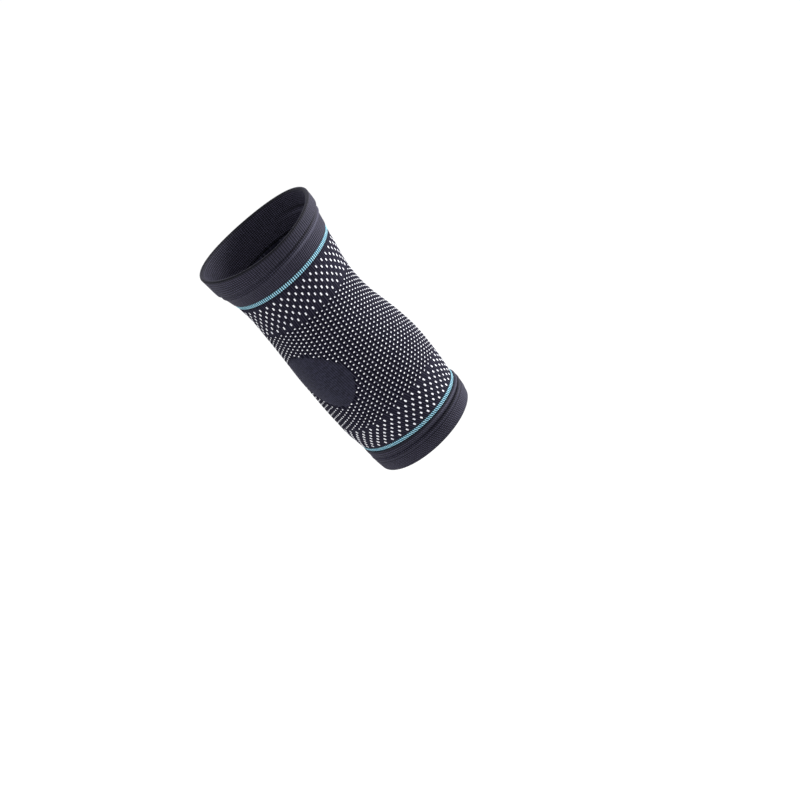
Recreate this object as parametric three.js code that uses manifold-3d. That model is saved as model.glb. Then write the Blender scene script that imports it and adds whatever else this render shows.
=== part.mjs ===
// Knitted compression sleeve for the elbow, as it stands when it is stretched over an arm.
// Millimetres. +Z runs up the arm to the shoulder, +X points to the crook of the elbow and -X
// to its tip. The origin is on the arm's axis, level with the tip of the elbow.

import * as THREE from 'three';
import { mergeVertices } from 'three/addons/utils/BufferGeometryUtils.js';
import Module from 'manifold-3d';

const wasm = await Module();
wasm.setup();

// Lengths along the arm
const bodyLength = 159.5;       // dotted knit between the two stripes
const tipDrop = 85.5;           // from the upper stripe down to the tip of the elbow
const stripeHeight = 4;
const upperCuffHeight = 30.4;
const lowerCuffHeight = 22.1;

// Over the outside of the knit at the tip of the elbow
const elbowDepth = 95.4;        // crook to tip
const elbowWidth = 93.5;        // side to side

// Fabric
const wall = 1.8;               // one layer of knit
const cuffRise = 1.5;           // a turned-over cuff stands this far proud of one layer
const stripeRise = 0.15;        // the stripe's laid-in yarn
const gap = 0.3;                // between neighbouring pieces

// The upper rim rises at the high side and opposite it, and the cuffs' folds lean up towards it
const highSide = THREE.MathUtils.degToRad(-40);
const rimSway = 1.8;
const foldTilt = 2.5;

// Plain patch over the tip of the elbow
const patchHeight = 57.5;
const patchWidth = 54.5;        // straight across, seen from behind
const patchLift = 2.7;          // centre of the patch above the tip
const patchRise = 0.4;
const patchLean = THREE.MathUtils.degToRad(11);
const patchTopFullness = 2;     // 2 is half an ellipse, less is more pointed
const patchFootFullness = 1.7;

// The tip of the elbow lifts the fabric in a low round bump
const tipRise = 2;
const tipSpread = 20;

// Fineness of the facets
const segments = 56;
const bodyRows = 18;
const stripeRows = 2;
const innerCuffRows = 3;
const rimSteps = 4;
const patchSides = 48;

// Cross-sections of the arm under tension. `along` is a share of the zone's length, counted
// away from the upper stripe; depth and shift are shares of elbowDepth, width of elbowWidth.
const sections = [
  { zone: 'upper', along: 1.00, depth: 1.145, width: 1.099, shift: 0.011 },
  { zone: 'upper', along: 0.60, depth: 1.103, width: 1.057, shift: 0.011 },
  { zone: 'upper', along: 0.35, depth: 1.066, width: 1.017, shift: 0.011 },
  { zone: 'upper', along: 0.10, depth: 1.030, width: 0.977, shift: 0.011 },
  { zone: 'body', along: 0.00, depth: 1.016, width: 0.965, shift: 0.010 },
  { zone: 'body', along: 0.10, depth: 0.967, width: 0.927, shift: 0.000 },
  { zone: 'body', along: 0.20, depth: 0.937, width: 0.903, shift: -0.024 },
  { zone: 'body', along: 0.30, depth: 0.935, width: 0.906, shift: -0.032 },
  { zone: 'body', along: 0.40, depth: 0.954, width: 0.935, shift: -0.027 },
  { zone: 'body', along: 0.50, depth: 0.990, width: 0.984, shift: -0.010 },
  { zone: 'body', along: 0.60, depth: 1.017, width: 1.027, shift: 0.007 },
  { zone: 'body', along: 0.70, depth: 1.038, width: 1.059, shift: 0.015 },
  { zone: 'body', along: 0.80, depth: 1.040, width: 1.061, shift: 0.015 },
  { zone: 'body', along: 0.90, depth: 1.027, width: 1.048, shift: 0.013 },
  { zone: 'body', along: 1.00, depth: 0.992, width: 1.002, shift: 0.017 },
  { zone: 'lower', along: 0.15, depth: 0.982, width: 0.987, shift: 0.021 },
  { zone: 'lower', along: 0.55, depth: 0.963, width: 0.967, shift: 0.021 },
  { zone: 'lower', along: 1.00, depth: 0.942, width: 0.946, shift: 0.021 },
];

// Outside of a cuff, from its stripe to its rim. `along` is a share of the cuff's height, rise of
// cuffRise, sway of rimSway and tilt of foldTilt. The fold is where rise jumps up.
const upperCuffRows = [
  { along: 0.00, rise: 0.25, sway: 0.0, tilt: 0.0 },
  { along: 0.05, rise: 0.45, sway: 0.0, tilt: 0.0 },
  { along: 0.28, rise: 0.40, sway: 0.0, tilt: 0.6 },
  { along: 0.49, rise: 0.45, sway: 0.0, tilt: 1.0 },
  { along: 0.53, rise: 0.20, sway: 0.0, tilt: 1.0 },
  { along: 0.57, rise: 0.85, sway: 0.1, tilt: 1.0 },
  { along: 0.64, rise: 1.00, sway: 0.2, tilt: 0.7 },
  { along: 0.78, rise: 0.92, sway: 0.6, tilt: 0.1 },
  { along: 0.93, rise: 1.00, sway: 1.0, tilt: -0.5 },
];
const lowerCuffRows = [
  { along: 0.00, rise: 0.25, sway: 0.0, tilt: 0.0 },
  { along: 0.05, rise: 0.60, sway: 0.0, tilt: 0.0 },
  { along: 0.24, rise: 0.65, sway: 0.0, tilt: 0.8 },
  { along: 0.29, rise: 0.30, sway: 0.0, tilt: 1.0 },
  { along: 0.34, rise: 0.75, sway: 0.0, tilt: 1.0 },
  { along: 0.60, rise: 0.85, sway: 0.0, tilt: 0.8 },
  { along: 0.90, rise: 0.75, sway: 0.0, tilt: 0.7 },
];

// Heights of the joins between the pieces
const bodyTop = tipDrop;
const bodyBottom = bodyTop - bodyLength;
const upperCuffFoot = bodyTop + stripeHeight;
const lowerCuffFoot = bodyBottom - stripeHeight;

// The height at which a row of the section table lies
function sectionHeight({ zone, along }) {
  if (zone === 'upper') return bodyTop + along * (stripeHeight + upperCuffHeight);
  if (zone === 'body') return bodyTop - along * bodyLength;
  return bodyBottom - along * (stripeHeight + lowerCuffHeight);
}

const profile = sections.map((row) => ({
  z: sectionHeight(row),
  depth: row.depth * elbowDepth,
  width: row.width * elbowWidth,
  shift: row.shift * elbowDepth,
})).reverse();

// Slope of one column of the profile at row i, from its neighbours
function slope(column, i) {
  const before = profile[Math.max(i - 1, 0)];
  const after = profile[Math.min(i + 1, profile.length - 1)];
  return (after[column] - before[column]) / (after.z - before.z);
}

// One column of the profile at any height, on a smooth curve through the rows
function profileAt(column, z) {
  let i = 0;
  while (i < profile.length - 2 && z > profile[i + 1].z) i += 1;
  const low = profile[i];
  const high = profile[i + 1];
  const span = high.z - low.z;
  const t = (z - low.z) / span;
  const bend = (1 - t) * (slope(column, i) * span - (high[column] - low[column]))
    - t * (slope(column, i + 1) * span - (high[column] - low[column]));
  return low[column] + t * (high[column] - low[column]) + t * (1 - t) * bend;
}

// How far the tip of the elbow pushes the fabric out at this height and angle
function tipBump(z, angle) {
  const across = elbowWidth / 2 * Math.sin(angle);
  const behind = Math.max(-Math.cos(angle), 0);
  const spread = (across * across + z * z) / (2 * tipSpread * tipSpread);
  return tipRise * behind * Math.exp(-spread);
}

// A point of the fabric: `out` is its distance outside the single knit's outer face
function fabricPoint({ z, out, sway = 0, tilt = 0 }, angle) {
  const reach = out + tipBump(z, angle);
  const x = profileAt('shift', z) + (profileAt('depth', z) / 2 + reach) * Math.cos(angle);
  const y = (profileAt('width', z) / 2 + reach) * Math.sin(angle);
  const wave = sway * Math.cos(2 * (angle - highSide)) + tilt * Math.cos(angle - highSide);
  return [x, y, z + wave];
}

// A closed ring of fabric round the arm, from rows that go up its outside and down its inside
function ring(rows) {
  const positions = [];
  const indices = [];
  rows.forEach((row, r) => {
    const here = r * segments;
    const next = ((r + 1) % rows.length) * segments;
    for (let s = 0; s < segments; s += 1) {
      const t = (s + 1) % segments;
      positions.push(...fabricPoint(row, 2 * Math.PI * s / segments));
      indices.push(here + s, here + t, next + t, here + s, next + t, next + s);
    }
  });
  const geometry = new THREE.BufferGeometry();
  geometry.setAttribute('position', new THREE.Float32BufferAttribute(positions, 3));
  geometry.setIndex(indices);
  return geometry;
}

// A plain tube of fabric between two heights, `out` proud and `deep` thick
function tube(low, high, count, out, deep) {
  const heights = Array.from({ length: count + 1 }, (_, i) => low + (high - low) * i / count);
  const outside = heights.map((z) => ({ z, out }));
  const inside = heights.map((z) => ({ z, out: out - deep })).reverse();
  return ring([...outside, ...inside]);
}

// A turned-over cuff that grows from `foot` by `height`, upwards or downwards, with a round rim
function cuff(foot, height, direction, table) {
  const last = table[table.length - 1];
  const rimRadius = (last.rise * cuffRise + wall) / 2;
  const rimMiddle = last.rise * cuffRise - rimRadius;
  const rimCentre = height - rimRadius;
  const start = gap / 2;
  const rows = table.filter(({ along }) => along * height < rimCentre).map((row) => ({
    rise: Math.max(row.along * height, start),
    out: row.rise * cuffRise,
    sway: row.sway * rimSway,
    tilt: row.tilt * foldTilt,
  }));
  for (let i = 0; i <= rimSteps; i += 1) {
    const turn = Math.PI * i / rimSteps;
    rows.push({
      rise: rimCentre + rimRadius * Math.sin(turn),
      out: rimMiddle + rimRadius * Math.cos(turn),
      sway: last.sway * rimSway,
      tilt: last.tilt * foldTilt,
    });
  }
  for (let i = innerCuffRows - 1; i >= 0; i -= 1) {
    const share = i / innerCuffRows;
    rows.push({
      rise: Math.max(rimCentre * share, start),
      out: -wall,
      sway: last.sway * rimSway * share,
      tilt: last.tilt * foldTilt * share,
    });
  }
  const placed = rows.map(({ rise, ...rest }) => ({ z: foot + direction * rise, ...rest }));
  return ring(direction > 0 ? placed : placed.reverse());
}

// A block through the back of the sleeve with the patch's outline, `inset` inside that outline
function patchBlock(inset) {
  const outline = new THREE.Shape();
  for (let i = 0; i < patchSides; i += 1) {
    const turn = 2 * Math.PI * i / patchSides;
    const c = Math.cos(turn);
    const s = Math.sin(turn);
    const power = 2 / (s > 0 ? patchTopFullness : patchFootFullness);
    const up = (patchHeight / 2 - inset) * Math.sign(s) * Math.abs(s) ** power;
    const across = (patchWidth / 2 - inset) * Math.sign(c) * Math.abs(c) ** power;
    const point = [across + up * Math.tan(patchLean), up + patchLift];
    if (i === 0) outline.moveTo(...point);
    else outline.lineTo(...point);
  }
  const reach = 0.75 * elbowDepth;
  const block = new THREE.ExtrudeGeometry(outline, { depth: reach, bevelEnabled: false });
  const [x, y, z] = [[1, 0, 0], [0, 1, 0], [0, 0, 1]].map((axis) => new THREE.Vector3(...axis));
  block.applyMatrix4(new THREE.Matrix4().makeBasis(y, z, x));
  return block.translate(-elbowDepth, 0, 0);
}

// A closed mesh as a solid that can be cut
function toSolid(geometry) {
  geometry.deleteAttribute('normal');
  geometry.deleteAttribute('uv');
  const merged = mergeVertices(geometry);
  return new wasm.Manifold(new wasm.Mesh({
    numProp: 3,
    vertProperties: new Float32Array(merged.attributes.position.array),
    triVerts: new Uint32Array(merged.index.array),
  }));
}

// A cut solid back as a mesh
function toGeometry(solid) {
  const { vertProperties, triVerts } = solid.getMesh();
  const geometry = new THREE.BufferGeometry();
  geometry.setAttribute('position', new THREE.Float32BufferAttribute(vertProperties, 3));
  geometry.setIndex(Array.from(triVerts));
  return geometry;
}

function upperCuffGeometry() {
  return cuff(upperCuffFoot, upperCuffHeight, 1, upperCuffRows);
}

function lowerCuffGeometry() {
  return cuff(lowerCuffFoot, lowerCuffHeight, -1, lowerCuffRows);
}

function stripeGeometry(low) {
  return tube(low + gap / 2, low + stripeHeight - gap / 2, stripeRows, stripeRise, wall + stripeRise);
}

// Dotted knit with a window for the patch
function bodyGeometry() {
  const knit = toSolid(tube(bodyBottom + gap / 2, bodyTop - gap / 2, bodyRows, 0, wall));
  return toGeometry(knit.subtract(toSolid(patchBlock(0))));
}

// Plain knit that fills the window and stands a little proud of it
function patchGeometry() {
  const low = bodyBottom + gap / 2;
  const high = bodyTop - gap / 2;
  const knit = toSolid(tube(low, high, bodyRows, patchRise, wall + patchRise));
  return toGeometry(knit.intersect(toSolid(patchBlock(gap))));
}

const cuffKnit = new THREE.MeshStandardMaterial({ color: 0x2c2a38, roughness: 0.85 });
const stripeKnit = new THREE.MeshStandardMaterial({ color: 0x87cde1, roughness: 0.7 });
const dottedKnit = new THREE.MeshStandardMaterial({ color: 0x4b4a58, roughness: 0.85 });
const patchKnit = new THREE.MeshStandardMaterial({ color: 0x33313f, roughness: 0.85 });

const brace = new THREE.Group();

function addPiece(name, geometry, material) {
  geometry.computeVertexNormals();
  const piece = new THREE.Mesh(geometry, material);
  piece.name = name;
  brace.add(piece);
}

addPiece('upper_cuff', upperCuffGeometry(), cuffKnit);
addPiece('upper_stripe', stripeGeometry(bodyTop), stripeKnit);
addPiece('sleeve_body', bodyGeometry(), dottedKnit);
addPiece('elbow_patch', patchGeometry(), patchKnit);
addPiece('lower_stripe', stripeGeometry(lowerCuffFoot), stripeKnit);
addPiece('lower_cuff', lowerCuffGeometry(), cuffKnit);

export default brace;
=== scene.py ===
import math

import bpy
import numpy as np
from mathutils import Matrix, Vector


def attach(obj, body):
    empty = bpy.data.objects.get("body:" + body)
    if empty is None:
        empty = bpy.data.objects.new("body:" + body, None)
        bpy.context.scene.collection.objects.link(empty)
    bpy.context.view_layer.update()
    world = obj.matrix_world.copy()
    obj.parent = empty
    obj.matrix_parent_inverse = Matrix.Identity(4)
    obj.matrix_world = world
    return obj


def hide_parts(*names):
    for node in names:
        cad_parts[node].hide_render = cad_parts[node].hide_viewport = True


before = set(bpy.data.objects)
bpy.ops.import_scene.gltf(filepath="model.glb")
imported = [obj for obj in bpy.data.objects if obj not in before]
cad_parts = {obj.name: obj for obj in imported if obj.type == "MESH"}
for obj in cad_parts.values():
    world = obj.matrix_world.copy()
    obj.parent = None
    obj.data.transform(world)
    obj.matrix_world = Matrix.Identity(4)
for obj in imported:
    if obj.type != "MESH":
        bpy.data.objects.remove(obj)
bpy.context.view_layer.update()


# Sleeve body.
# The main tube of the brace: one layer of elastic jersey, dark navy yarn with white dots knitted
# in, stretched as it is when worn, so it is waisted above the elbow and full below it. It is
# knitted in the round, so it has no seam, and a window in it holds the plain patch.
body_top = 0.0855
body_length = 0.1595
stripe_height = 0.004
upper_cuff_height = 0.0304
lower_cuff_height = 0.0221
body_foot = body_top - body_length
elbow_depth = 0.0954
elbow_width = 0.0935
wall = 0.0018
tip_rise = 0.002
tip_spread = 0.020

# Directions round the tube: where the upper rim rises, where the cloth is loosest, and where the
# wales keep an even spacing at the waist
high_side = math.radians(-40)
loose_side = math.radians(-60)
even_side = math.radians(-132)

# Cross-sections under tension: how far along its zone, then depth, width and shift. Depth and
# shift are shares of the elbow's depth, and width is a share of its width.
upper_part = [
    (1.00, 1.145, 1.099, 0.011), (0.60, 1.103, 1.057, 0.011),
    (0.35, 1.066, 1.017, 0.011), (0.10, 1.030, 0.977, 0.011),
]
middle_part = [
    (0.0, 1.016, 0.965, 0.010), (0.1, 0.967, 0.927, 0.000), (0.2, 0.937, 0.903, -0.024),
    (0.3, 0.935, 0.906, -0.032), (0.4, 0.954, 0.935, -0.027), (0.5, 0.990, 0.984, -0.010),
    (0.6, 1.017, 1.027, 0.007), (0.7, 1.038, 1.059, 0.015), (0.8, 1.040, 1.061, 0.015),
    (0.9, 1.027, 1.048, 0.013), (1.0, 0.992, 1.002, 0.017),
]
lower_part = [
    (0.15, 0.982, 0.987, 0.021), (0.55, 0.963, 0.967, 0.021), (1.00, 0.942, 0.946, 0.021),
]
sections = (
    [(body_top + a * (stripe_height + upper_cuff_height), d, w, s) for a, d, w, s in upper_part]
    + [(body_top - a * body_length, d, w, s) for a, d, w, s in middle_part]
    + [(body_foot - a * (stripe_height + lower_cuff_height), d, w, s) for a, d, w, s in lower_part]
)
heights, depths, widths, shifts = np.array(sorted(sections)).T


def at_height(column, z):
    """One column of the cross-sections at any height, on a smooth curve through them."""
    slopes = np.empty_like(column)
    slopes[1:-1] = (column[2:] - column[:-2]) / (heights[2:] - heights[:-2])
    slopes[0] = (column[1] - column[0]) / (heights[1] - heights[0])
    slopes[-1] = (column[-1] - column[-2]) / (heights[-1] - heights[-2])
    i = np.clip(np.searchsorted(heights, z, side="right") - 1, 0, len(heights) - 2)
    span = heights[i + 1] - heights[i]
    t = (z - heights[i]) / span
    rise = column[i + 1] - column[i]
    bend = (1 - t) * (slopes[i] * span - rise) - t * (slopes[i + 1] * span - rise)
    return column[i] + t * rise + t * (1 - t) * bend


def fabric(z, angle, out):
    """Points of the knit round the tube, `out` proud of the single layer's outer face."""
    across = elbow_width / 2 * np.sin(angle)
    bump = np.exp(-(across**2 + z**2) / (2 * tip_spread**2))
    reach = out + tip_rise * np.maximum(-np.cos(angle), 0) * bump
    x = elbow_depth * at_height(shifts, z)
    x = x + (elbow_depth * at_height(depths, z) / 2 + reach) * np.cos(angle)
    y = (elbow_width * at_height(widths, z) / 2 + reach) * np.sin(angle)
    return np.stack([x, y, z], axis=-1)


# The stitches: wales run up the tube and courses round it. Below the elbow the sleeve has turned,
# so the wales slant there, and a little above the waist too. The courses are pulled down under
# the elbow's tip.
wales = 160
per_wale = 3
courses = 176
slant = 0.475
slant_reach = 0.038
slant_onset = 1.3
top_turn = 0.0013
top_turn_from = 0.045
top_turn_to = 0.085
lower_zone = 32
lower_zone_top = -0.0454
waist_width = 0.995
pull = 0.0050
pull_angle = math.radians(-174)
pull_focus = 7
pull_top = 0.040
pull_top_fade = 0.084
pull_foot_fade = 0.030
least_loose = 0.15

# How far the wales have drifted round the tube at each depth below the elbow's tip
below = np.linspace(0, 0.12, 241)
slopes_below = slant * (1 - np.exp(-(below / slant_reach) ** slant_onset))
drift_below = np.cumsum(slopes_below[1:] + slopes_below[:-1]) * below[1] / 2
drift_below = np.concatenate([[-top_turn, 0, 0], drift_below])
below = np.concatenate([[-top_turn_to, -top_turn_from], below])


def wale_angle(wale, z):
    """The angle round the tube of a wale at a height. At the waist the wales keep their spacing
    on the even side and crowd together on the other."""
    angle = 2 * np.pi * wale / wales + np.interp(-z, below, drift_below) / (elbow_width / 2)
    crowding = np.maximum(waist_width / at_height(widths, z) - 1, 0)
    return angle + crowding * np.sin(angle - even_side)


def pulled(z, angle):
    """The height of a point of the knit once the elbow's tip has pulled its course down."""
    foot = np.clip((z - body_foot) / pull_foot_fade, 0, 1)
    head = np.clip((pull_top - z) / pull_top_fade, 0, 1)
    share = foot**2 * (3 - 2 * foot) * head**2 * (3 - 2 * head)
    return z - pull * share * np.exp(pull_focus * (np.cos(angle - pull_angle) - 1))


def body_point(wale, course, out):
    """A point of the body from its place in the knit."""
    z = np.interp(course, (0, lower_zone, courses), (body_foot, lower_zone_top, body_top))
    angle = wale_angle(wale, z)
    return fabric(pulled(z, angle), angle, out)


def knit_ring(name, rows):
    """A closed ring of knit: a flat piece of stitches, rolled up and joined to itself.

    Each row is (course, height, out, rib, sway, tilt, fold), up the outside and down the inside.
    """
    rows = np.array(rows)
    columns = wales * per_wale
    bpy.ops.object.select_all(action="DESELECT")
    bpy.ops.mesh.primitive_grid_add(x_subdivisions=columns, y_subdivisions=len(rows), size=1)
    piece = bpy.context.object
    piece.name = piece.data.name = name
    mesh = piece.data
    flat = np.empty(len(mesh.vertices) * 3)
    mesh.vertices.foreach_get("co", flat)
    flat = flat.reshape(-1, 3)[:, :2] + 0.5
    column, row = np.rint(flat * (columns, len(rows))).astype(int).T
    course, z, out, rib, sway, tilt, fold = rows[row % len(rows)].T
    angle = wale_angle(column / per_wale, z)
    ridge = np.where(column % per_wale == 0, 0.0, 1.0)
    loose = least_loose + (1 - least_loose) * (0.5 + 0.5 * np.cos(angle - loose_side)) ** 2
    points = fabric(pulled(z, angle), angle, out + rib * ridge + fold * loose)
    points[:, 2] += sway * np.cos(2 * (angle - high_side)) + tilt * np.cos(angle - high_side)
    mesh.vertices.foreach_set("co", points.ravel())
    corners = np.empty(len(mesh.loops), int)
    mesh.loops.foreach_get("vertex_index", corners)
    stitches = np.stack([column / per_wale, course], axis=-1)
    mesh.uv_layers[0].data.foreach_set("uv", stitches[corners].ravel())
    reverse = (out[corners].reshape(-1, 4) < -0.8 * wall).all(axis=1)
    mesh.polygons.foreach_set("material_index", reverse.astype(int))
    bpy.ops.object.mode_set(mode="EDIT")
    bpy.ops.mesh.select_all(action="SELECT")
    bpy.ops.mesh.remove_doubles(threshold=1e-6)
    bpy.ops.object.mode_set(mode="OBJECT")
    bpy.ops.object.shade_smooth()
    return piece


def face_stitches(mesh):
    """The wale and course at the middle of each face."""
    uv = np.empty(len(mesh.loops) * 2)
    mesh.uv_layers[0].data.foreach_get("uv", uv)
    return uv.reshape(-1, 4, 2).mean(axis=1).T


# Outline of the elbow patch, seen from behind
patch_height = 0.0562
patch_width = 0.0515
patch_lift = 0.0027
patch_lean = math.radians(11)
patch_top_fullness = 2.0
patch_foot_fullness = 1.65


def patch_reach(wale, course):
    """How far out a stitch lies in the patch's outline: 0 at its centre, 1 on its edge."""
    point = body_point(wale, course, 0.0)
    up = point[..., 2] - patch_lift
    across = point[..., 1] - up * math.tan(patch_lean)
    power = np.where(up > 0, patch_top_fullness, patch_foot_fullness)
    reach = np.abs(across / (patch_width / 2)) ** power + np.abs(up / (patch_height / 2)) ** power
    return np.where(point[..., 0] < 0, reach ** (1 / power), 9.0)


body_rib = 0.00016
body_edge = 0.00002
edge_dip = 0.0003
courses_up = np.arange(0, courses + 1, 2)


def body_rows():
    """Rows of the body from foot to top outside, and back down inside."""
    outside, inside = [], []
    for course in courses_up:
        z = np.interp(course, (0, lower_zone, courses), (body_foot, lower_zone_top, body_top))
        z = np.clip(z, body_foot + body_edge, body_top - body_edge)
        at_edge = course in (0, courses)
        outside.append((course, z, -edge_dip if at_edge else 0, body_rib, 0, 0, 0))
        inside.append((course, z, -wall, 0, 0, 0, 0))
    return outside + inside[::-1]


def keep_faces(piece, keep):
    """Deletes the other faces and walls up the cut edge, through the thickness of the knit."""
    mesh = piece.data
    bpy.ops.object.mode_set(mode="EDIT")
    bpy.ops.mesh.select_mode(type="FACE")
    bpy.ops.object.mode_set(mode="OBJECT")
    mesh.polygons.foreach_set("select", ~keep)
    bpy.ops.object.mode_set(mode="EDIT")
    bpy.ops.mesh.delete(type="FACE")
    bpy.ops.mesh.select_mode(type="EDGE")
    bpy.ops.mesh.select_all(action="DESELECT")
    bpy.ops.mesh.select_non_manifold(extend=False)
    bpy.ops.mesh.bridge_edge_loops()
    bpy.ops.mesh.select_all(action="DESELECT")
    bpy.ops.object.mode_set(mode="OBJECT")


body = knit_ring("sleeve_body_knit", body_rows())
wale, course = face_stitches(body.data)
keep_faces(body, patch_reach(wale, course) > 1)


class Field:
    """One socket of a material. Sums on it add Math nodes, and add() brings any other node."""

    def __init__(self, tree, socket=None):
        self.tree, self.socket = tree, socket

    def add(self, kind, inputs, output=0, **settings):
        node = self.tree.nodes.new(kind)
        for name, value in settings.items():
            setattr(node, name, value)
        for name, value in inputs.items():
            if isinstance(value, Field):
                self.tree.links.new(value.socket, node.inputs[name])
            else:
                node.inputs[name].default_value = value
        return Field(self.tree, node.outputs[output])

    def math(self, operation, *values):
        return self.add("ShaderNodeMath", dict(enumerate(values)), operation=operation)

    def __add__(self, other):
        return self.math("ADD", self, other)

    def __sub__(self, other):
        return self.math("SUBTRACT", self, other)

    def __mul__(self, other):
        return self.math("MULTIPLY", self, other)

    def __rsub__(self, other):
        return self.math("SUBTRACT", other, self)

    def __abs__(self):
        return self.math("ABSOLUTE", self)

    def __lt__(self, other):
        return self.math("LESS_THAN", self, other)

    __radd__ = __add__
    __rmul__ = __mul__

    def part(self):
        return self.math("FRACT", self)

    def ramp(self, low, high):
        """0 below low, 1 above high, and a soft step between them."""
        return self.add("ShaderNodeMapRange", {0: self, 1: low, 2: high},
                        interpolation_type="SMOOTHSTEP")

    def mix(self, first, second):
        """From the first colour where this is 0 to the second where it is 1."""
        return self.add("ShaderNodeMix", {0: self, 6: first, 7: second}, output=2,
                        data_type="RGBA")


def colour(red, green, blue):
    """A colour given as it looks on a screen, from 0 to 255."""
    return tuple((c / 255 / 12.92 if c <= 10 else ((c / 255 + 0.055) / 1.055) ** 2.4)
                 for c in (red, green, blue)) + (1.0,)


def yarn_material(name, paint, gloss, sheen, sheen_tint, roughness, relief):
    """A knit material: paint() is given the stitches and returns its colour and its height."""
    material = bpy.data.materials.new(name)
    material.use_nodes = True
    tree = material.node_tree
    shader = tree.nodes["Principled BSDF"]
    sheet = Field(tree)
    stitches = sheet.add("ShaderNodeUVMap", {}, uv_map="UVMap")
    split = stitches.add("ShaderNodeSeparateXYZ", {0: stitches})
    wale, course = split, Field(tree, split.socket.node.outputs[1])
    place = sheet.add("ShaderNodeTexCoord", {}, output="Object")
    tint, height = paint(wale, course, place)
    normal = height.add("ShaderNodeBump", {"Height": height, "Distance": relief, "Strength": 1.0})
    tree.links.new(tint.socket, shader.inputs["Base Color"])
    tree.links.new(normal.socket, shader.inputs["Normal"])
    shader.inputs["Roughness"].default_value = roughness
    shader.inputs["Sheen Weight"].default_value = sheen
    shader.inputs["Sheen Roughness"].default_value = 0.45
    shader.inputs["Sheen Tint"].default_value = sheen_tint
    shader.inputs["Specular IOR Level"].default_value = gloss
    return material


def grain(wale, course, place):
    """Uneven yarn: one random number for each stitch, mixed with a slow drift over the cloth."""
    cell = wale.add("ShaderNodeCombineXYZ", {0: wale.math("FLOOR", wale),
                                             1: course.math("FLOOR", course)})
    stitch = cell.add("ShaderNodeTexWhiteNoise", {"Vector": cell}, noise_dimensions="2D")
    drift = place.add("ShaderNodeTexNoise", {"Vector": place, "Scale": 60.0, "Detail": 3.0})
    return stitch * 0.6 + drift * 0.4


def chevrons(wale, course):
    """Height of plain knitting: a round rib for each wale, with a V of two legs at each course."""
    side = abs(wale.part() - 0.5) * 2
    leg = (course + side * 0.8).part() * 2 - 1
    rib = 1 - side * side * side
    return side, rib * (1 - leg * leg * 0.55)


navy_deep = colour(3, 3, 10)
navy = colour(21, 20, 36)
navy_open = colour(42, 41, 56)
navy_light = colour(92, 91, 108)

# Courses over which the zone of small dots begins, and those over which it ends
dense_from = (31, 34)
dense_to = (140, 143)


def paint_dotted(wale, course, place):
    """Plain jersey, darker between the small dots than between the large ones. Every second wale
    has the white yarn behind it and looks paler."""
    side, height = chevrons(wale, course)
    dense = course.ramp(*dense_from) * (1 - course.ramp(*dense_to))
    yarn = grain(wale, course, place)
    tint = (height * 0.75 + yarn * 0.25).ramp(0.15, 1.0)
    shade = tint.mix(navy_deep, dense.mix(navy_open, navy))
    carrier = ((wale * 0.5).part() < 0.5) * (1 - side.ramp(0.1, 0.45))
    return (carrier * (dense * 0.2 + 0.2)).mix(shade, navy_light), height


def paint_reverse(wale, course, place):
    """The inside: rows of round loops, with the white yarn floating behind them."""
    loop = (wale + course.math("FLOOR", course) * 0.5).part() * 2 - 1
    row = course.part() * 2 - 1
    height = (1 - row * row) * (1 - loop * loop * 0.4)
    yarn = grain(wale, course, place)
    shade = (height * 0.6 + yarn * 0.4).ramp(0.1, 1.0).mix(navy_deep, navy)
    return (yarn.ramp(0.3, 0.9) * height * 0.3).mix(shade, navy_light), height


pale_blue = colour(140, 142, 185)
dotted_knit = yarn_material("dotted_knit", paint_dotted, gloss=0.06, sheen=0.03,
                            sheen_tint=pale_blue, roughness=0.9, relief=0.00025)
knit_reverse = yarn_material("knit_reverse", paint_reverse, gloss=0.13, sheen=0.1,
                             sheen_tint=colour(150, 150, 175), roughness=0.9, relief=0.00025)
body.data.materials.append(dotted_knit)
body.data.materials.append(knit_reverse)
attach(body, "root")
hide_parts("sleeve_body")


# Elbow patch.
# A plain oval over the tip of the elbow, knitted into the same tube without dots, with the same
# dark yarn in a closer stitch, so that it is smooth.
patch = knit_ring("elbow_patch_knit", body_rows())
wale, course = face_stitches(patch.data)
keep_faces(patch, patch_reach(wale, course) <= 1)


def paint_plain(wale, course, place):
    side, height = chevrons(wale, course)
    tint = (height * 0.55 + grain(wale, course, place) * 0.45).ramp(0.15, 0.9)
    return tint.mix(colour(4, 4, 12), colour(46, 46, 64)), height * 0.7


patch_knit = yarn_material("patch_knit", paint_plain, gloss=0.13, sheen=0.06,
                           sheen_tint=pale_blue, roughness=0.7, relief=0.0002)
patch.data.materials.append(patch_knit)
patch.data.materials.append(knit_reverse)
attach(patch, "root")
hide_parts("elbow_patch")


# White dots.
# White yarn that comes to the face for one stitch at a time, four wales apart and half-dropped
# from ring to ring. Through the middle the rings are close and each dot is one short stitch, and
# next to the two stripes they are spread out and each is two stitches tall.
dot_spacing = 4
dots_round = wales // dot_spacing
dot_shift = 0.1
patch_clearance = 1.03
seed = np.random.default_rng(7)

# Where the rings lie, in courses down from the upper stripe
upper_rings = 5.4 + 4.05 * np.arange(7)
middle_rings = 35 + 2.017 * np.arange(55)
lower_rings = 148.5 + 4 * np.arange(7)

# Width, height and rise of a dot, and how far the two stitches of a large dot lie from its middle
small_dot = (0.00158, 0.00114, 0.00032)
large_dot = (0.0014, 0.0017, 0.00034)
stack = 0.55


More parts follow.
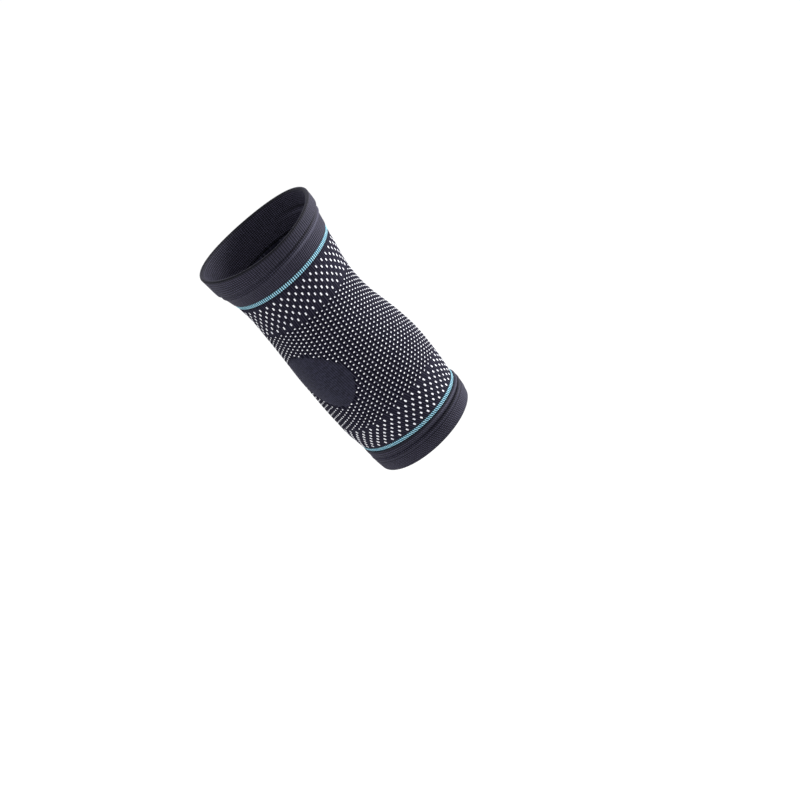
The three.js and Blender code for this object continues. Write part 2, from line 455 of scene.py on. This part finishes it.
def one_dot(width, height, rise):
    """A stitch that stands up from the knit, as corners and faces: an oval with a V pressed in."""
    bpy.ops.object.select_all(action="DESELECT")
    bpy.ops.mesh.primitive_uv_sphere_add(segments=8, ring_count=5, radius=0.5)
    ball = bpy.context.object
    corners = np.array([v.co for v in ball.data.vertices])
    faces = [list(p.vertices) for p in ball.data.polygons]
    bpy.data.objects.remove(ball)
    corners[:, 1] += 0.18 * np.abs(corners[:, 0])
    corners[:, 2] -= 0.25 * np.maximum(corners[:, 2], 0) * (1 - 2 * np.abs(corners[:, 0]))
    return corners * (width, height, 2 * rise), faces


def sow_dots(name, stitches, shape):
    """One mesh of dots, each set on its stitch and turned to lie on the cloth."""
    corners, faces = shape
    wale, course = stitches.T
    seat = body_point(wale, course, body_rib * 0.8)
    across = body_point(wale + 0.1, course, body_rib * 0.8) - seat
    along = body_point(wale, course + 0.1, body_rib * 0.8) - seat
    along /= np.linalg.norm(along, axis=1)[:, None]
    out = np.cross(across, along)
    out /= np.linalg.norm(out, axis=1)[:, None]
    across = np.cross(along, out)
    size = 1 + 0.07 * seed.standard_normal((len(seat), 1, 3))
    local = corners[None] * size
    points = (seat[:, None] + local[..., :1] * across[:, None] + local[..., 1:2] * along[:, None]
              + local[..., 2:] * out[:, None])
    shift = len(corners) * np.arange(len(seat))
    mesh = bpy.data.meshes.new(name)
    mesh.from_pydata(points.reshape(-1, 3).tolist(), [],
                     [[c + int(s) for c in face] for s in shift for face in faces])
    piece = bpy.data.objects.new(name, mesh)
    bpy.context.scene.collection.objects.link(piece)
    mesh.polygons.foreach_set("use_smooth", np.ones(len(mesh.polygons), bool))
    mesh.update()
    return piece


def ring_stitches(rings, first):
    """Wale and course of every dot of these rings, leaving out those on the patch."""
    half = dot_spacing // 2
    wale = np.array([[dot_spacing * i - dot_shift + half * ((first + k) % 2)
                      for i in range(dots_round)] for k in range(len(rings))])
    course = np.array([[courses - ring] * dots_round for ring in rings], float)
    stitches = np.stack([wale.ravel(), course.ravel()], axis=-1)
    stitches += seed.normal(0, (0.03, 0.05), stitches.shape)
    return stitches[patch_reach(*stitches.T) > patch_clearance]


small_dots = sow_dots("small_dots", ring_stitches(middle_rings, 1), one_dot(*small_dot))
large = np.concatenate([ring_stitches(upper_rings, 1), ring_stitches(lower_rings, 1)])
stacked = np.concatenate([large + (0, stack), large - (0, stack)])
large_dots = sow_dots("large_dots", stacked, one_dot(*large_dot))


def paint_dots(wale, course, place):
    fibres = place.add("ShaderNodeTexNoise", {"Vector": place, "Scale": 1800.0, "Detail": 2.0})
    drift = place.add("ShaderNodeTexNoise", {"Vector": place, "Scale": 300.0, "Detail": 1.0})
    tint = (fibres * 0.5 + drift * 0.5).ramp(0.3, 0.6)
    return tint.mix(colour(214, 214, 226), colour(250, 250, 254)), fibres


white_yarn = yarn_material("white_yarn", paint_dots, gloss=0.13, sheen=0.1,
                           sheen_tint=colour(255, 255, 255), roughness=0.8, relief=0.00008)
for dots in (small_dots, large_dots):
    dots.data.uv_layers.new(name="UVMap")
    dots.data.materials.append(white_yarn)
    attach(dots, "root")


# Blue stripes.
# A narrow band of light blue yarn at each end of the body, knitted in as a rib, so that each wale
# shows as a short upright bar with a dark slot beside it.
stripe_rise = 0.00015
stripe_rib = 0.0003
stripe_dip = 0.00035
stripe_steps = 9


def stripe_rows(low):
    """Rows of a stripe, up its outside and down its inside. Its edges dip into the knit."""
    outside = []
    for share in np.linspace(0, 1, stripe_steps):
        z = low + body_edge + share * (stripe_height - 2 * body_edge)
        near_edge = (2 * share - 1) ** 4
        outside.append((share, z, stripe_rise - stripe_dip * near_edge,
                        stripe_rib * (1 - near_edge), 0, 0, 0))
    inside = [(share, z, stripe_rise - wall, 0, 0, 0, 0) for share, z, *_ in outside[::4]]
    return outside + inside[::-1]


def paint_stripe(wale, course, place):
    side, rib = chevrons(wale, course * 4)
    fibres = grain(wale, course * 4, place)
    tint = (fibres * 0.7 + rib * 0.3).ramp(0.1, 0.9)
    bright = tint.mix(colour(114, 192, 226), colour(180, 234, 250))
    edge = course.ramp(0.02, 0.16) * (1 - course.ramp(0.84, 0.98))
    slot = side.ramp(0.3, 0.65)
    pair = (1 - abs(course - 0.5).ramp(0.0, 0.16)) * 0.35
    barred = (slot + pair * (1 - slot)).mix(bright, colour(0, 16, 30))
    return edge.mix(colour(8, 22, 36), barred), rib


stripe_knit = yarn_material("stripe_knit", paint_stripe, gloss=0.13, sheen=0.15,
                            sheen_tint=colour(245, 235, 235), roughness=0.8, relief=0.0003)
for node, low in (("upper_stripe", body_top), ("lower_stripe", body_foot - stripe_height)):
    stripe = knit_ring(node + "_knit", stripe_rows(low))
    stripe.data.materials.append(stripe_knit)
    stripe.data.materials.append(knit_reverse)
    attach(stripe, "root")
    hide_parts(node)


# Cuffs.
# Each end is a wide band of plain dark rib whose edge is turned to the inside and knitted down,
# so it is double. The turn-over stands proud along a fold that shows as a groove round the cuff,
# and the rim is the round bend of the cloth.
cuff_rise = 0.0015
rim_sway = 0.0018
fold_tilt = 0.0025
cuff_rib = 0.00014
cuff_stitch = 0.0015
cuff_steps = 72
rim_steps = 11
inside_steps = 14
loose_way = (math.cos(loose_side), math.sin(loose_side), 0)

# How far up each cuff its groove lies
upper_fold = 0.537
lower_fold = 0.28

# Share of the height from the stripe, stand-off, sway and tilt as shares, and how much further the
# cloth stands off on its loose side, in millimetres: out at the turn-over, in at the groove
upper_table = [
    (0.00, 0.15, 0.0, 0.0, 0.0), (0.03, 0.42, 0.0, 0.0, 0.0), (0.27, 0.42, -0.1, 0.5, 0.0),
    (0.355, 0.44, -0.1, 0.7, 0.0), (0.405, 0.75, -0.2, 0.8, 1.0), (0.44, 0.46, -0.2, 0.9, 0.0),
    (0.515, 0.46, -0.2, 0.9, 0.0), (0.53, 0.10, -0.2, 0.9, -1.5), (0.545, 0.15, -0.2, 0.9, -1.5),
    (0.56, 0.98, -0.2, 0.9, 1.0), (0.59, 1.05, -0.2, 0.9, 1.1), (0.68, 1.05, 0.0, 0.6, 0.9),
    (0.80, 0.95, 0.3, 0.0, 0.7), (0.93, 1.00, 1.0, -0.5, 0.1),
]
lower_table = [
    (0.00, 0.15, 0.0, 0.0, 0.0), (0.04, 0.58, 0.0, 0.0, 0.5), (0.12, 0.70, 0.0, 0.5, 1.2),
    (0.24, 0.65, 0.0, 0.9, 1.0), (0.27, 0.20, 0.0, 1.0, -1.4), (0.29, 0.25, 0.0, 1.0, -1.2),
    (0.31, 0.80, 0.0, 1.0, 1.3), (0.38, 0.90, 0.0, 1.0, 1.6), (0.46, 0.72, 0.0, 0.9, 0.8),
    (0.50, 0.85, 0.0, 0.9, 1.5), (0.70, 0.85, 0.0, 0.8, 1.5), (0.90, 0.75, 0.0, 0.7, 0.8),
]


def soften(values, width):
    """Rounds the corners of a row of numbers, keeping its two ends."""
    kernel = np.hanning(2 * width + 3)[1:-1]
    padded = np.concatenate([2 * values[0] - values[width:0:-1], values,
                             2 * values[-1] - values[-2:-width - 2:-1]])
    return np.convolve(padded, kernel / kernel.sum(), mode="valid")


def cuff_rows(foot, height, direction, table):
    """Rows of a cuff, from its stripe up the outside, round the rim and back inside."""
    share, stand, sway, tilt, fold = np.array(table).T
    radius = (stand[-1] * cuff_rise + wall) / 2
    middle = stand[-1] * cuff_rise - radius
    top = height - radius
    rise = np.linspace(body_edge, top, cuff_steps)
    columns = [soften(np.interp(rise, share * height, values), 1)
               for values in (stand * cuff_rise, sway * rim_sway, tilt * fold_tilt, fold * 0.001)]
    rows = [(z, out, cuff_rib if i > 1 else 0.0, s, t, f)
            for i, (z, out, s, t, f) in enumerate(zip(rise, *columns))]
    sway, tilt, fold = rows[-1][3:]
    for turn in np.linspace(0, np.pi, rim_steps)[1:-1]:
        rows.append((top + radius * math.sin(turn), middle + radius * math.cos(turn),
                     cuff_rib * math.cos(turn / 2), sway, tilt, fold * math.cos(turn / 2)))
    for share in np.linspace(1, 0, inside_steps):
        rows.append((max(top * share, body_edge), -wall, cuff_rib * -0.5,
                     sway * share, tilt * share, 0.0))
    placed = [(z / cuff_stitch, foot + direction * z, out, rib, s, t, f)
              for z, out, rib, s, t, f in rows]
    return placed if direction > 0 else placed[::-1]


def cuff_paint(height, fold):
    """An open rib: each stitch is a light square, with dark lines between the wales and between
    the courses.
    The foot beside the stripe is dark. The rim's bend and the groove on the loose side, which
    faces the main light, are darkened with painted shade, and a ridge beside the groove has a
    painted highlight."""
    rim, groove = height / cuff_stitch, height * fold / cuff_stitch

    def paint(wale, course, place):
        side = abs(wale.part() - 0.5) * 2
        row = abs(course.part() - 0.5) * 2
        mesh = (1 - side.ramp(0.35, 1.0)) * ((1 - row.ramp(0.2, 0.9)) * 0.95 + 0.05)
        tint = (mesh * 0.75 + grain(wale, course, place) * 0.25).ramp(0.1, 0.85)
        facing = place.add("ShaderNodeVectorMath", {0: place, 1: loose_way}, output=1,
                           operation="DOT_PRODUCT")
        # The painted shade and highlight are kept to the loose side, which faces the main light,
        # and are absent on the far side.
        lit_loose_side = facing.ramp(0.0, 0.045)
        # Painted shade: the groove on the side facing the main light is coloured near black.
        painted_groove_shade = lit_loose_side * (1 - abs(course - groove).ramp(0.4, 0.8))
        # Painted highlight: a pale band 2.6 stitches from the groove, along the ridge that the
        # main light catches.
        painted_ridge_highlight = lit_loose_side * (1 - abs(course - groove + 2.6).ramp(0.2, 1.0)) * 0.4
        # A dark line at the foot beside the stripe, and painted shade on the rim's bend.
        dark_foot_and_rim_shade = (1 - course.ramp(0.2, 1.3)) * 0.7 + course.ramp(rim - 1.2, rim - 0.6) * 0.9
        shade = painted_ridge_highlight.mix(tint.mix(colour(3, 3, 9), colour(60, 58, 76)), navy_light)
        return (painted_groove_shade + dark_foot_and_rim_shade).mix(shade, navy_deep), mesh

    return paint


for node, foot, height, direction, table, fold in (
    ("upper_cuff", body_top + stripe_height, upper_cuff_height, 1, upper_table, upper_fold),
    ("lower_cuff", body_foot - stripe_height, lower_cuff_height, -1, lower_table, lower_fold),
):
    cuff = knit_ring(node + "_knit", cuff_rows(foot, height, direction, table))
    cuff.data.materials.append(yarn_material(
        node + "_rib", cuff_paint(height, fold), gloss=0.13, sheen=0.15,
        sheen_tint=colour(150, 148, 185), roughness=0.65, relief=0.0003))
    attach(cuff, "root")
    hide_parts(node)


# Floor, light and camera.
# A pale floor far below, as the brace is shown held up, under a bright even studio. The main
# light comes from the upper right of the picture and a little behind the brace.
bpy.ops.object.select_all(action="DESELECT")
bpy.ops.mesh.primitive_circle_add(vertices=96, radius=30, fill_type="NGON", location=(0, 0, -1.2))
floor = bpy.context.object
floor.name = "floor"
paper = bpy.data.materials.new("paper")
paper.use_nodes = True
paper.node_tree.nodes["Principled BSDF"].inputs["Base Color"].default_value = (0.97, 0.97, 0.97, 1)
paper.node_tree.nodes["Principled BSDF"].inputs["Roughness"].default_value = 0.9
floor.data.materials.append(paper)

world = bpy.data.worlds.new("studio")
world.use_nodes = True
world.node_tree.nodes["Background"].inputs["Color"].default_value = (1, 1, 1, 1)
world.node_tree.nodes["Background"].inputs["Strength"].default_value = 1.05
bpy.context.scene.world = world
bpy.context.scene.view_settings.view_transform = "Standard"

camera_azimuth = math.radians(-42)
camera_elevation = math.radians(22.68)
camera_roll = math.radians(-41.16)
camera_distance = 2.0
camera_right = 0.0448
camera_down = 0.0486
aim = Vector((0, 0, 0.005))

right = Vector((math.cos(camera_azimuth), math.sin(camera_azimuth), 0))
back = Vector((math.sin(camera_azimuth) * math.cos(camera_elevation),
               -math.cos(camera_azimuth) * math.cos(camera_elevation),
               math.sin(camera_elevation)))
up = back.cross(right)

key_place = right * 1.4 - back * 0.25 + up * 0.35
key = bpy.data.objects.new("key", bpy.data.lights.new("key", "AREA"))
key.data.size, key.data.energy = 0.6, 38
key.location = key_place
key.rotation_mode = "QUATERNION"
key.rotation_quaternion = (-key_place).to_track_quat("-Z", "Y")
bpy.context.scene.collection.objects.link(key)

camera = bpy.data.objects.new("camera", bpy.data.cameras.new("camera"))
camera.data.sensor_width = 36
camera.data.lens = 112.32
camera.data.clip_end = 100
across = math.cos(camera_roll) * right + math.sin(camera_roll) * up
upward = math.cos(camera_roll) * up - math.sin(camera_roll) * right
place = aim + back * camera_distance + across * camera_right - upward * camera_down
turn = Matrix((across, upward, back)).transposed().to_4x4()
camera.matrix_world = Matrix.Translation(place) @ turn
bpy.context.scene.collection.objects.link(camera)
bpy.context.scene.camera = camera
